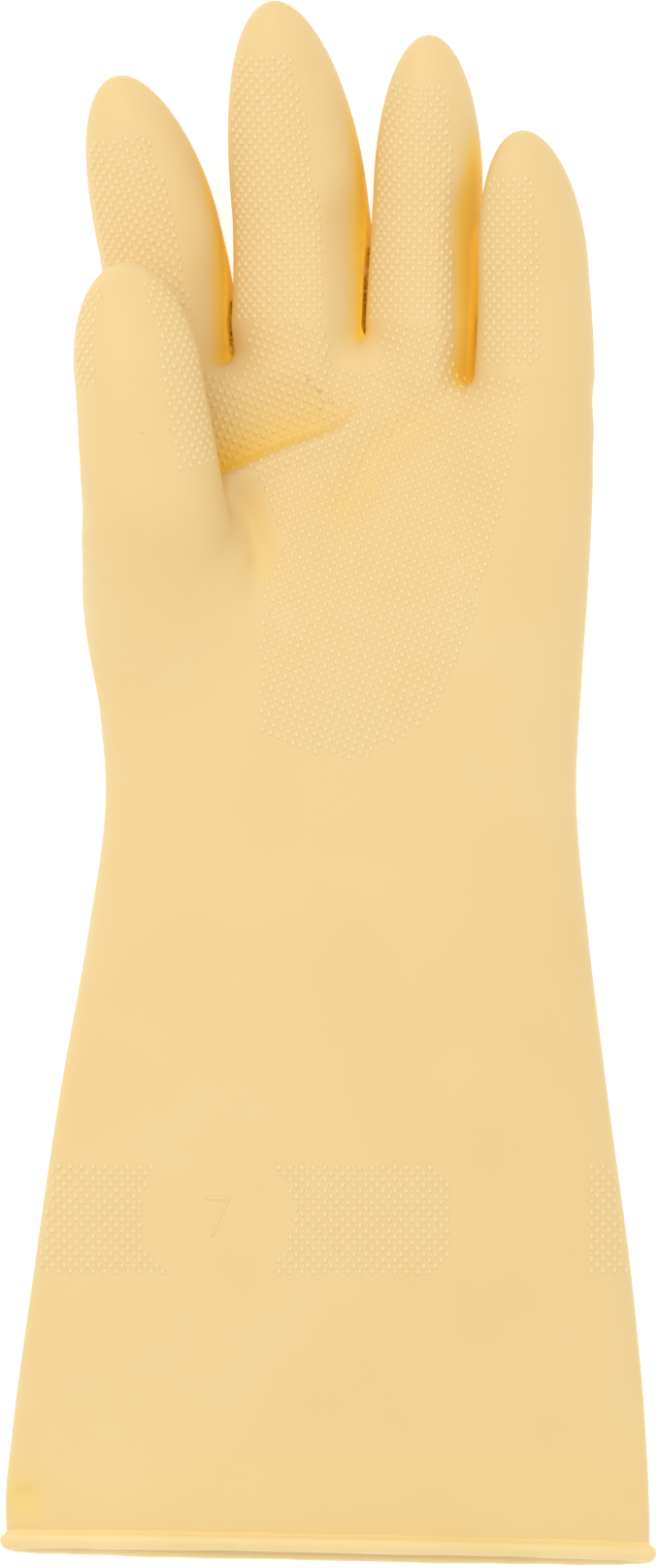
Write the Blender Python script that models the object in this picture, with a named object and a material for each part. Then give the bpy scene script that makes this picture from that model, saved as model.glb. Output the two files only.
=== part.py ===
"""One dipped rubber glove for the left hand, lying on its back with the palm up.

Frame: metres. +Y runs to the fingertips, +X to the little finger, +Z up out of the palm.
The glove is one skin. It is modelled as its zones: hollow sleeves that keep their shape,
and the short folds between them where the rubber bends.
"""

import math

import bmesh
import bpy
from mathutils import Matrix, Vector

# ---- driving dimensions, in metres -------------------------------------------------
WALL = 0.0010  # rubber thickness
GAP = 0.0003  # clearance between neighbouring zones
BEAD_RADIUS = 0.0019  # rolled edge at the mouth
DIGIT_SIDES = 16  # facets round a finger or the thumb
HAND_SIDES = 32  # facets round the hand and the gauntlet
BEAD_STEPS, BEAD_SIDES = 48, 8
FOLD_STEP, ZONE_STEP = 0.008, 0.010  # longest facets along a digit
OVERCUT = 0.004  # how far the cutters run past the openings

WRIST_FOLD = (-0.009, 0.005)  # the stretch along Y that bends at the wrist
SQUARENESS = 2.5  # exponent of the flattened oval section: 2 is an ellipse
SUNK = 0.0008  # how much of each section is cut off flat by the table

# Stations of the hand and gauntlet: y, left edge x, right edge x, top z.
BODY = [
    (-0.1480, -0.0626, 0.0622, 0.0182),
    (-0.1280, -0.0628, 0.0618, 0.0198),
    (-0.0980, -0.0586, 0.0591, 0.0226),
    (-0.0600, -0.0530, 0.0541, 0.0260),
    (-0.0300, -0.0477, 0.0504, 0.0285),
    (-0.0020, -0.0441, 0.0480, 0.0300),
    (0.0200, -0.0460, 0.0490, 0.0315),
    (0.0400, -0.0478, 0.0503, 0.0305),
    (0.0600, -0.0462, 0.0511, 0.0265),
    (0.0760, -0.0450, 0.0508, 0.0240),
]
# How far up Y the skin between the fingers reaches, as x, y.
WEB = [(-0.046, 0.0815), (-0.0210, 0.0820), (0.0070, 0.0865), (0.0290, 0.0770), (0.0520, 0.0755)]
FRONT_STEPS = [(0.45, 1.0), (0.8, 0.93), (1.0, 0.62)]  # share of the way to the web, share of height

CUP_LIFT = 0.0092  # how far the little finger's side of the palm lifts off the table
CUP_FROM_X, CUP_TO_X = 0.016, 0.040
CUP_FROM_Y, CUP_TO_Y = 0.010, 0.078

MOUTH_Y = -0.1494  # middle of the mouth
MOUTH_SLANT = -0.020  # fall of the mouth along X
MOUTH_STAGGER = 0.0013  # the palm side stops this much short, the back runs this much past
MOUTH_Z, MOUTH_HALF_WIDTH, MOUTH_HALF_HEIGHT = 0.0096, 0.0622, 0.0076

# Each digit: its centreline as four control points, full width and height,
# length of the rounded end, and widening per metre behind it.
# Folds are lengths along the centreline, where each starts and ends; its hinge is halfway.
DIGITS = {
    "index": {
        "line": [
            (-0.0316, 0.084, 0.0112),
            (-0.0306, 0.104, 0.0115),
            (-0.0372, 0.121, 0.0155),
            (-0.0413, 0.1384, 0.0225),
        ],
        "width": 0.0244,
        "height": 0.0198,
        "cap": 0.034,
        "widening": 0.0,
        "folds": [(0.0, 0.012), (0.018, 0.031), (0.038, 0.0465)],
    },
    "middle": {
        "line": [
            (-0.0056, 0.090, 0.0124),
            (-0.0048, 0.112, 0.0126),
            (-0.0086, 0.132, 0.0170),
            (-0.0116, 0.1527, 0.0270),
        ],
        "width": 0.0268,
        "height": 0.0212,
        "cap": 0.042,
        "widening": 0.0,
        "folds": [(0.0, 0.014), (0.020, 0.0335), (0.041, 0.050)],
    },
    "ring": {
        "line": [
            (0.0187, 0.090, 0.0130),
            (0.0191, 0.108, 0.0134),
            (0.0193, 0.128, 0.0185),
            (0.0190, 0.1458, 0.0270),
        ],
        "width": 0.0214,
        "height": 0.0192,
        "cap": 0.032,
        "widening": 0.0,
        "folds": [(0.0, 0.013), (0.0185, 0.0315), (0.038, 0.0465)],
    },
    "little": {
        "line": [
            (0.0397, 0.0795, 0.0216),
            (0.0401, 0.096, 0.0220),
            (0.0391, 0.112, 0.0245),
            (0.0366, 0.1269, 0.0300),
        ],
        "width": 0.0216,
        "height": 0.0176,
        "cap": 0.034,
        "widening": 0.0,
        "folds": [(0.0, 0.012), (0.016, 0.028), (0.033, 0.041)],
    },
    "thumb": {
        "line": [
            (-0.0348, 0.058, 0.0350),
            (-0.0358, 0.071, 0.0392),
            (-0.0376, 0.088, 0.0398),
            (-0.0398, 0.1024, 0.0402),
        ],
        "width": 0.0250,
        "height": 0.0206,
        "cap": 0.022,
        "widening": 0.13,
        "folds": [(0.0, 0.012), (0.019, 0.029)],
    },
}
FINGER_ZONES = ("lower", "centre", "tip")
FINGER_FOLDS = ("root_fold", "centre_fold", "tip_fold")
THUMB_ZONES = ("lower", "tip")
THUMB_FOLDS = ("root_fold", "tip_fold")
FINGER_STUB = 0.022  # how far a finger's root reaches down inside the hand
STUB_STEPS = [(1.0, 0.0045), (0.5, 0.0018)]  # share of that length, and how much narrower it is there
# The ball of the thumb: x, y, z, half width, half height.
THENAR = [
    (-0.0272, 0.012, 0.0150, 0.0105, 0.0080),
    (-0.0296, 0.026, 0.0185, 0.0140, 0.0115),
    (-0.0318, 0.037, 0.0225, 0.0152, 0.0132),
    (-0.0336, 0.047, 0.0285, 0.0146, 0.0128),
]
THUMB_COLLAR = 0.004  # the last stretch of it, which runs in line with the thumb
TIP_RING_SHARES = (1.0, 0.72, 0.48, 0.29, 0.14, 0.04)  # where rings sit along a rounded end

HINGE_OFFSET = 0.003  # digits bend about an axis this far to the palm side of their centreline
LATEX = (0.90, 0.70, 0.33, 1.0)
BEAD_LATEX = (0.80, 0.58, 0.22, 1.0)  # the rolled layers look darker
ROUGHNESS = 0.45


def clear_scene():
    for obj in list(bpy.data.objects):
        bpy.data.objects.remove(obj)


def latex_material(name, colour=LATEX):
    material = bpy.data.materials.new(name)
    material.use_nodes = True
    shader = material.node_tree.nodes["Principled BSDF"]
    shader.inputs["Base Color"].default_value = colour
    shader.inputs["Roughness"].default_value = ROUGHNESS
    shader.inputs["Metallic"].default_value = 0.0
    return material


def smooth(t):
    t = min(1.0, max(0.0, t))
    return t * t * (3 - 2 * t)


def through(stations, at):
    """Value of a smooth curve through (position, value, value...) rows."""
    rows = list(stations)
    if at <= rows[0][0]:
        return rows[0][1:]
    if at >= rows[-1][0]:
        return rows[-1][1:]
    i = next(k for k in range(len(rows) - 1) if at <= rows[k + 1][0])
    before, a, b, after = rows[max(i - 1, 0)], rows[i], rows[i + 1], rows[min(i + 2, len(rows) - 1)]
    span = b[0] - a[0]
    t = (at - a[0]) / span
    values = []
    for k in range(1, len(a)):
        slope_a = (b[k] - before[k]) / (b[0] - before[0]) * span
        slope_b = (after[k] - a[k]) / (after[0] - a[0]) * span
        t2, t3 = t * t, t * t * t
        values.append(
            (2 * t3 - 3 * t2 + 1) * a[k]
            + (t3 - 2 * t2 + t) * slope_a
            + (3 * t2 - 2 * t3) * b[k]
            + (t3 - t2) * slope_b
        )
    return tuple(values)


def web_y(x):
    return through(WEB, x)[0]


def cup(x, y):
    """Lift of the little finger's side of the hand."""
    across = smooth((x - CUP_FROM_X) / (CUP_TO_X - CUP_FROM_X))
    along = smooth((y - CUP_FROM_Y) / (CUP_TO_Y - CUP_FROM_Y))
    return CUP_LIFT * across * along


def ellipse(centre, direction, half_width, half_height):
    """A closed ring of points square to a direction."""
    side = direction.cross(Vector((0, 0, 1))).normalized()
    up = side.cross(direction).normalized()
    points = []
    for k in range(DIGIT_SIDES):
        angle = 2 * math.pi * k / DIGIT_SIDES
        points.append(centre + side * (half_width * math.cos(angle)) + up * (half_height * math.sin(angle)))
    return points


def oval(angle):
    """A point on the unit flattened oval."""
    c, s = math.cos(angle), math.sin(angle)
    power = 2 / SQUARENESS
    return math.copysign(abs(c) ** power, c), math.copysign(abs(s) ** power, s)


def body_ring(y, inset=0.0, forward=0.0, height_share=1.0):
    """One closed section of the hand or gauntlet, inset by the wall for the inside."""
    left, right, top = through(BODY, y)
    half_width = (right - left) / 2 - inset
    half_height = (top + SUNK) / 2 * height_share - inset
    middle_z = (top - SUNK) / 2
    ring = []
    for k in range(HAND_SIDES):
        u, v = oval(2 * math.pi * (k + 0.5) / HAND_SIDES)
        x = (left + right) / 2 + half_width * u
        z = max(middle_z + half_height * v, inset)
        at_y = y + forward * (web_y(x) - inset - y)
        ring.append(Vector((x, at_y, z + cup(x, at_y))))
    return ring


def mouth_offset(x, side):
    """Y of the mouth at x; side is +1 on the palm and -1 on the back."""
    return MOUTH_Y + MOUTH_SLANT * x + MOUTH_STAGGER * side


class Digit:
    """A finger or the thumb: a sleeve along a cubic centreline."""

    STEPS = 200

    def __init__(self, name):
        self.name = name
        self.spec = DIGITS[name]
        control = [Vector(p) for p in self.spec["line"]]
        self.points = [self.bezier(control, i / self.STEPS) for i in range(self.STEPS + 1)]
        self.lengths = [0.0]
        for a, b in zip(self.points, self.points[1:]):
            self.lengths.append(self.lengths[-1] + (b - a).length)
        self.length = self.lengths[-1]

    @staticmethod
    def bezier(p, t):
        s = 1 - t
        return p[0] * s**3 + p[1] * (3 * s * s * t) + p[2] * (3 * s * t * t) + p[3] * t**3

    def at(self, along):
        """Centre and direction at a length along the centreline; it runs straight on past either end."""
        if along <= 0:
            direction = (self.points[1] - self.points[0]).normalized()
            return self.points[0] + direction * along, direction
        if along >= self.length:
            direction = (self.points[-1] - self.points[-2]).normalized()
            return self.points[-1] + direction * (along - self.length), direction
        i = next(k for k in range(self.STEPS) if along <= self.lengths[k + 1])
        share = (along - self.lengths[i]) / (self.lengths[i + 1] - self.lengths[i])
        centre = self.points[i].lerp(self.points[i + 1], share)
        before, after = max(i - 4, 0), min(i + 5, self.STEPS)
        return centre, (self.points[after] - self.points[before]).normalized()

    def half_sizes(self, along, inset):
        """Half width and half height; the end is half an ellipse."""
        spec = self.spec
        back = max(self.length - inset - along, 0.0)
        cap = spec["cap"] - inset
        share = math.sqrt(max(0.0, 1 - max(0.0, 1 - back / cap) ** 2))
        wider = spec["widening"] * max(0.0, back - cap) / 2
        return (spec["width"] / 2 + wider - inset) * share, (spec["height"] / 2 + wider - inset) * share

    def ring(self, along, inset=0.0, narrowing=0.0):
        centre, direction = self.at(along)
        half_width, half_height = self.half_sizes(along, inset)
        return ellipse(centre, direction, half_width - narrowing, half_height - narrowing)

    def tip(self, inset=0.0):
        return self.at(self.length - inset)[0]


def add_skin(bm, rings, outward):
    """Joins rings into a skin. Returns the rings' vertices."""
    rows = [[bm.verts.new(p) for p in ring] for ring in rings]
    for a, b in zip(rows, rows[1:]):
        for k in range(len(a)):
            m = (k + 1) % len(a)
            corners = (a[k], a[m], b[m], b[k])
            bm.faces.new(corners if outward else corners[::-1])
    return rows


def close_end(bm, row, point):
    """Closes a ring with a fan to a point."""
    pole = bm.verts.new(point)
    for k in range(len(row)):
        bm.faces.new((row[k], row[(k + 1) % len(row)], pole))


def object_from(bm, name, colour=LATEX):
    bmesh.ops.recalc_face_normals(bm, faces=bm.faces[:])
    mesh = bpy.data.meshes.new(name)
    bm.to_mesh(mesh)
    bm.free()
    mesh.materials.append(latex_material(name, colour))
    mesh.shade_smooth()
    mesh.set_sharp_from_angle(angle=math.radians(40))
    obj = bpy.data.objects.new(name, mesh)
    bpy.context.scene.collection.objects.link(obj)
    return obj


def sleeve(name, outer, inner, outer_tip=None, inner_tip=None):
    """A hollow sleeve between two skins, closed at its far end if it has tips."""
    bm = bmesh.new()
    out_rows = add_skin(bm, outer, True)
    in_rows = add_skin(bm, inner, False)
    ends = [(out_rows[0], in_rows[0])]
    if outer_tip is None:
        ends.append((out_rows[-1], in_rows[-1]))
    else:
        close_end(bm, out_rows[-1], outer_tip)
        close_end(bm, in_rows[-1], inner_tip)
    for a, b in ends:
        for k in range(len(a)):
            m = (k + 1) % len(a)
            bm.faces.new((a[k], a[m], b[m], b[k]))
    return object_from(bm, name)


def plug(name, rings):
    """A closed solid through rings, used as a cutter or before its inside is cut away."""
    bm = bmesh.new()
    rows = add_skin(bm, rings, True)
    for row in (rows[0][::-1], rows[-1]):
        for k in range(len(row) // 2 - 1):
            bm.faces.new((row[k], row[k + 1], row[-k - 2], row[-k - 1]))
    return object_from(bm, name)


def as_helper(obj):
    obj.hide_render = True
    obj.display_type = "WIRE"
    return obj


def combine(target, other, operation):
    step = target.modifiers.new(f"{operation.lower()}_{other.name}", "BOOLEAN")
    step.operation = operation
    step.object = as_helper(other)
    step.solver = "EXACT"


def even_steps(start, end, longest):
    count = max(1, math.ceil((end - start) / longest - 1e-6))
    return [start + (end - start) * k / count for k in range(count + 1)]


def pivot(name, position, axis, parent=None):
    """An empty on a hinge axis, with its own X along the axis. What turns about it is parented to it."""
    empty = bpy.data.objects.new(name, None)
    bpy.context.scene.collection.objects.link(empty)
    empty.matrix_world = Matrix.Translation(position) @ axis.to_track_quat("X", "Z").to_matrix().to_4x4()
    bpy.context.view_layer.update()
    if parent is not None:
        hang(empty, parent)
    return empty


def hang(obj, parent):
    obj.parent = parent
    obj.matrix_parent_inverse = parent.matrix_world.inverted()


def tube_zone(digit, name, start, end, longest):
    steps = even_steps(start + GAP / 2, end - GAP / 2, longest)
    outer = [digit.ring(s) for s in steps]
    inner = [digit.ring(s, WALL) for s in steps]
    return sleeve(f"{digit.name}_{name}", outer, inner)


def tip_zone(digit, name, start):
    """The closed end of a digit; its rings crowd together towards the end."""
    first = start + GAP / 2
    last = digit.length
    outer = [last - (last - first) * share for share in TIP_RING_SHARES]
    inner = [last - WALL - (last - WALL - first) * share for share in TIP_RING_SHARES]
    return sleeve(
        f"{digit.name}_{name}",
        [digit.ring(s) for s in outer],
        [digit.ring(s, WALL) for s in inner],
        digit.tip(),
        digit.tip(WALL),
    )


def hinge_line(digit, start, end):
    """Where a fold bends, and about what axis: positive turns curl a finger and swing the thumb out."""
    centre, direction = digit.at((start + end) / 2)
    side = direction.cross(Vector((0, 0, 1))).normalized()
    up = side.cross(direction)
    if digit.name == "thumb":
        return centre, up
    return centre + up * HINGE_OFFSET, side


def digit_sleeves(digit, zones, folds):
    """The hollow zones of one digit, from its root to its tip, each hung on the hinge that moves it."""
    spans = digit.spec["folds"]
    holder = None
    for k, (fold, zone, (start, end)) in enumerate(zip(folds, zones, spans)):
        fold_piece = tube_zone(digit, fold, start, end, FOLD_STEP)
        if holder is not None:
            hang(fold_piece, holder)
        holder = pivot(f"{digit.name}_{zone}_pivot", *hinge_line(digit, start, end), holder)
        if k + 1 < len(spans):
            piece = tube_zone(digit, zone, end, spans[k + 1][0], ZONE_STEP)
        else:
            piece = tip_zone(digit, zone, end)
        hang(piece, holder)


def hand_rings(inset, start):
    rings = [body_ring(y, inset) for y in (start, 0.014, 0.024, 0.036, 0.048, 0.060, 0.070)]
    last = BODY[-1][0] - inset
    rings += [body_ring(last, inset, forward, height) for forward, height in FRONT_STEPS]
    return rings


def thenar_rings(digit, inset, end):
    """The ball of the thumb: a tapering plug from inside the palm up to the thumb's root."""
    direction = (Vector(THENAR[-1][:3]) - Vector(THENAR[0][:3])).normalized()
    rings = []
    for x, y, z, half_width, half_height in THENAR:
        rings.append(ellipse(Vector((x, y, z)), direction, half_width - inset, half_height - inset))
    rings.append(digit.ring(-THUMB_COLLAR, inset))
    rings.append(digit.ring(end, inset))
    return rings


def stub_rings(digit, inset, end):
    """A finger's root: it narrows where it runs back inside the hand."""
    rings = []
    for share, narrowing in STUB_STEPS:
        rings.append(digit.ring(-FINGER_STUB * share + inset, inset, narrowing))
    rings.append(digit.ring(end, inset))
    return rings


def hand_shell(digits):
    """Palm and back in one hollow shell, with a round root for each digit."""
    start = WRIST_FOLD[1] + GAP / 2
    shell = plug("hand_shell", hand_rings(0.0, start))
    inside = plug("hand_inside", hand_rings(WALL, start - OVERCUT))
    for name, digit in digits.items():
        rings = thenar_rings if name == "thumb" else stub_rings
        combine(shell, plug(f"{name}_stub", rings(digit, 0.0, -GAP / 2)), "UNION")
        combine(inside, plug(f"{name}_stub_inside", rings(digit, WALL, OVERCUT)), "UNION")
    combine(shell, inside, "DIFFERENCE")
    return shell


def wrist_fold():
    steps = even_steps(WRIST_FOLD[0] + GAP / 2, WRIST_FOLD[1] - GAP / 2, FOLD_STEP)
    return sleeve("wrist_fold", [body_ring(y) for y in steps], [body_ring(y, WALL) for y in steps])


def gauntlet_shell():
    """The flared forearm part, whose last ring follows the slanted mouth."""
    steps = [BODY[0][0], -0.140, -0.126, -0.104, -0.082, -0.060, -0.038, -0.022, WRIST_FOLD[0] - GAP / 2]
    outer = [body_ring(y) for y in steps]
    inner = [body_ring(y, WALL) for y in steps]
    for ring in (outer[0], inner[0]):
        for k, point in enumerate(ring):
            side = math.sin(2 * math.pi * (k + 0.5) / HAND_SIDES)
            point.y = mouth_offset(point.x, side) + BEAD_RADIUS + GAP
    return sleeve("gauntlet_shell", outer, inner)


def cuff_bead():
    """The rolled edge: a round bead along the mouth."""
    count, sides = BEAD_STEPS, BEAD_SIDES
    path = []
    for k in range(count):
        angle = 2 * math.pi * k / count
        u, v = oval(angle)
        x = MOUTH_HALF_WIDTH * u
        path.append(Vector((x, mouth_offset(x, math.sin(angle)), MOUTH_Z + MOUTH_HALF_HEIGHT * v)))
    bm = bmesh.new()
    rows = []
    for k in range(count):
        along = (path[(k + 1) % count] - path[k - 1]).normalized()
        across = along.cross(Vector((0, 1, 0))).normalized()
        third = across.cross(along).normalized()
        row = []
        for m in range(sides):
            angle = 2 * math.pi * (m + 0.5) / sides
            offset = across * math.cos(angle) + third * math.sin(angle)
            row.append(bm.verts.new(path[k] + offset * BEAD_RADIUS))
        rows.append(row)
    for k in range(count):
        a, b = rows[k], rows[(k + 1) % count]
        for m in range(sides):
            n = (m + 1) % sides
            bm.faces.new((a[m], a[n], b[n], b[m]))
    return object_from(bm, "cuff_bead", BEAD_LATEX)


def main():
    clear_scene()
    digits = {name: Digit(name) for name in DIGITS}
    hand_shell(digits)
    wrist_fold()
    wrist_y = sum(WRIST_FOLD) / 2
    wrist_z = through(BODY, wrist_y)[2] / 2
    wrist = pivot("gauntlet_pivot", Vector((0.0, wrist_y, wrist_z)), Vector((-1.0, 0.0, 0.0)))
    for piece in (gauntlet_shell(), cuff_bead()):
        hang(piece, wrist)
    for name, digit in digits.items():
        if name == "thumb":
            digit_sleeves(digit, THUMB_ZONES, THUMB_FOLDS)
        else:
            digit_sleeves(digit, FINGER_ZONES, FINGER_FOLDS)


main()
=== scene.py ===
import math
import bmesh
import bpy
import numpy as np
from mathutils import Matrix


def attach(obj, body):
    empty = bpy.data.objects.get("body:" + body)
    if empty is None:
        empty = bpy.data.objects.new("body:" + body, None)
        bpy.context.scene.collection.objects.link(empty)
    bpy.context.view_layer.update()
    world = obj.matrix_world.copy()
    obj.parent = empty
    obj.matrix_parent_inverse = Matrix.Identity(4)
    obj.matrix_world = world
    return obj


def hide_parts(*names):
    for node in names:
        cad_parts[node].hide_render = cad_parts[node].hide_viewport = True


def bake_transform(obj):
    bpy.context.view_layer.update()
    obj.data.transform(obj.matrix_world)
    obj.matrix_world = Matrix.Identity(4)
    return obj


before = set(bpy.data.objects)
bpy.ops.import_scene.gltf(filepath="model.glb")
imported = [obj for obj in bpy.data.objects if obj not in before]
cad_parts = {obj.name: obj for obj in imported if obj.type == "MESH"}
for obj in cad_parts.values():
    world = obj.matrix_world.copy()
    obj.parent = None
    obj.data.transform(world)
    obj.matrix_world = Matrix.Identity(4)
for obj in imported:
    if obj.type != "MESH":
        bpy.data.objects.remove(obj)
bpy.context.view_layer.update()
mm = 0.001
farAway = 30.0  # what a field says where a limb is nowhere near, in mm

print("frame loaded")

# All sizes below are in millimetres, in the frame's own axes.

handPlan = {
    "wall": 1.0,
    "squareness": 2.5,
    "stations": [  # y, left x, right x, bottom z, top z
        (-152.0, -63.0, 62.2, 1.9, 17.3),
        (-147.0, -63.6, 62.5, 1.5, 17.9),
        (-141.0, -63.8, 62.4, 0.4, 18.9),
        (-128.0, -62.6, 61.8, 0.0, 19.8),
        (-98.0, -58.6, 59.1, 0.0, 22.6),
        (-60.0, -53.0, 54.1, 0.0, 26.0),
        (-30.0, -47.7, 50.4, 0.0, 28.5),
        (-2.0, -44.1, 48.0, 0.0, 30.0),
        (20.0, -45.6, 49.0, 0.0, 31.5),
        (40.0, -46.0, 50.3, 0.0, 30.5),
        (60.0, -46.2, 51.1, 0.0, 26.5),
        (76.0, -45.0, 50.8, 0.0, 24.0),
        (96.0, -45.0, 50.8, 0.0, 24.0),
    ],
    "web": [(-46.0, 81.5), (-21.0, 82.0), (7.0, 86.5), (29.0, 77.0), (52.0, 75.5)],  # x, y
    "frontRounding": 8.0,
    "cupLift": 9.2,
    "cupAcross": (16.0, 40.0),
    "cupAlong": (10.0, 78.0),
    "wristFold": (-9.0, 5.0),
    "netStep": 0.75,
    "netFront": 112.0,
    "slit": 0.8,  # the gap that each finger keeps to the next, which lies higher
    "webBlend": 3.2,
}

# line is a Bezier curve from the root to the tip. width and height are of the straight part, and
# widening is how much both grow for each mm towards the root. cap is the length of the rounded end.
# press is how deep the flank beside the next finger is pressed down, and where along the finger that
# ends. folds are where each fold starts and ends. bands are where the grip lies: two shares of the half
# width, from the middle line, and where along the digit it starts and ends.
digitPlan = {
    "index": {
        "line": [(-31.4, 84, 10.6), (-30.4, 104, 11.2), (-37.8, 121, 15.5), (-42.0, 138.0, 22.5)],
        "width": 24.4, "height": 19.8, "cap": 34.0, "widening": 0.10, "press": (3.6, 26.0),
        "folds": [(0, 12), (18, 31), (38, 46.5)],
        "bands": [(-0.93, 0.3, 3.0, 47.0)],
    },
    "middle": {
        "line": [(-5.0, 90, 14.2), (-4.6, 112, 13.8), (-8.6, 132, 17), (-11.6, 152.2, 27)],
        "width": 26.8, "height": 21.2, "cap": 42.0, "widening": 0.10, "press": (4.4, 32.0),
        "folds": [(0, 14), (20, 33.5), (41, 50)],
        "bands": [(-0.93, 0.25, 1.0, 56.0)],
    },
    "ring": {
        "line": [(18.5, 90, 16.0), (18.9, 108, 15.9), (19.3, 128, 19.8), (19, 145.6, 27.6)],
        "width": 21.4, "height": 19.2, "cap": 32.0, "widening": 0.09, "press": (3.4, 34.0),
        "folds": [(0, 13), (18.5, 31.5), (38, 46.5)],
        "bands": [(-0.93, 0.42, 1.0, 49.0)],
    },
    "little": {
        "line": [(39.7, 79.5, 21.6), (40.1, 96, 22), (39.1, 112, 24.5), (36.6, 126.9, 30)],
        "width": 21.6, "height": 17.6, "cap": 29.0, "widening": 0.10, "press": (0.0, 10.0),
        "folds": [(0, 12), (16, 28), (33, 41)],
        "bands": [(-0.9, 0.1, 3.0, 41.0)],
    },
    "thumb": {
        "line": [(-34.8, 58, 35), (-36.2, 71, 39.2), (-38.4, 88, 39.8), (-40.4, 100.9, 40.2)],
        "width": 24.6, "height": 20.6, "cap": 22.0, "widening": 0.13, "press": (0.0, 10.0),
        "folds": [(0, 12), (19, 29)],
        "bands": [(0.42, 0.95, 5.0, 40.0), (-0.96, -0.62, 22.0, 40.0)],
    },
}
fingerStub = [(-22.0, 4.4), (-11.0, 1.4)]  # along the line, and how much narrower it is there
ballOfThumb = [  # x, y, z, half width, half height
    (-27.2, 12, 15.0, 10.5, 8.0),
    (-29.6, 26, 18.5, 14.0, 11.5),
    (-31.8, 37, 22.5, 15.0, 13.2),
    (-33.6, 47, 28.5, 15.2, 12.8),
]


def smoothStep(t):
    t = np.clip(t, 0.0, 1.0)
    return t * t * (3 - 2 * t)


def smoothMin(a, b, width):
    overlap = np.maximum(width - np.abs(a - b), 0.0) / width
    return np.minimum(a, b) - overlap * overlap * width / 4


def smoothMax(a, b, width):
    return -smoothMin(-a, -b, width)


def unit(v):
    return v / np.maximum(np.linalg.norm(v, axis=-1, keepdims=True), 1e-12)


def bell(x, width):
    return np.exp(-((x / width) ** 2))


def lengthsAlong(line):
    # How much of the line's length is passed at each of its points.
    return np.concatenate([[0], np.cumsum(np.linalg.norm(np.diff(line, axis=0), axis=1))])


def curveThrough(rows, at):
    # A smooth curve through rows of a position and the values there.
    rows = np.array(rows, float)
    at = np.asarray(at, float)
    where = rows[:, 0]
    slopes = np.gradient(rows[:, 1:], where, axis=0)
    slopes[0] = slopes[-1] = 0
    inside = np.clip(at, where[0], where[-1])
    k = np.clip(np.searchsorted(where, inside) - 1, 0, len(where) - 2)
    span = (where[k + 1] - where[k])[..., None]
    t = (inside - where[k])[..., None] / span
    a, b = rows[k, 1:], rows[k + 1, 1:]
    bend = (2 * t**3 - 3 * t**2 + 1) * a + (3 * t**2 - 2 * t**3) * b
    return bend + ((t**3 - 2 * t**2 + t) * slopes[k] + (t**3 - t**2) * slopes[k + 1]) * span


def bezier(control, count):
    a, b, c, d = np.array(control, float)
    t = np.linspace(0, 1, count)[:, None]
    return (1 - t) ** 3 * a + 3 * t * (1 - t) ** 2 * b + 3 * t * t * (1 - t) * c + t**3 * d


def webEdge(x):
    return curveThrough(handPlan["web"], x)[..., 0]


def cupLift(x, y):
    (x0, x1), (y0, y1) = handPlan["cupAcross"], handPlan["cupAlong"]
    return handPlan["cupLift"] * smoothStep((x - x0) / (x1 - x0)) * smoothStep((y - y0) / (y1 - y0))


tableStep = 0.5  # how far apart the rows of a limb's table are
rootCap = 8.0  # the length of the rounded end that lies inside the hand


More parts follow.
